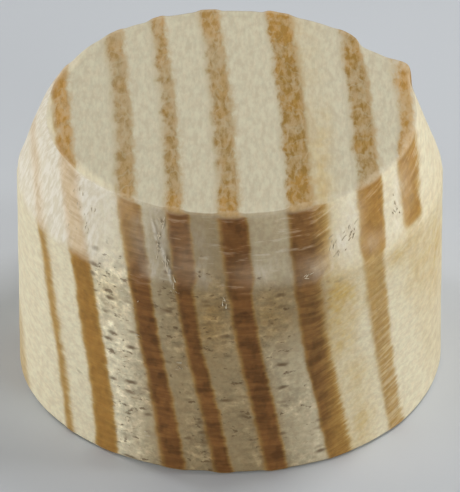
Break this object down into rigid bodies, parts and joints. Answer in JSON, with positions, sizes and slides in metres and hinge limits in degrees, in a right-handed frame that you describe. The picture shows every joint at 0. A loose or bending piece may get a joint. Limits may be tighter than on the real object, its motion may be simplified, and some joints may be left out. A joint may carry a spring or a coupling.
{
  "type": "wooden plug",
  "caption": "Short round cross-grain softwood plug, with a flat flush end and a steep chamfered lead-in end, that covers the head of a sunk screw.",
  "frame": {"origin": "centre of the flush end's face, on the plug's axis", "axes": "+Z along the plug's axis, from the flush end to the chamfered lead-in end; the wood's fibres run along Y and its growth rings follow one another along X"},
  "size_m": [0.0126, 0.0126, 0.0088],
  "materials": {
    "wood": "bare sawn and cut softwood, unfinished, matt"
  },
  "bodies": {
    "root": {"plug": "wood"}
  },
  "joints": []
}
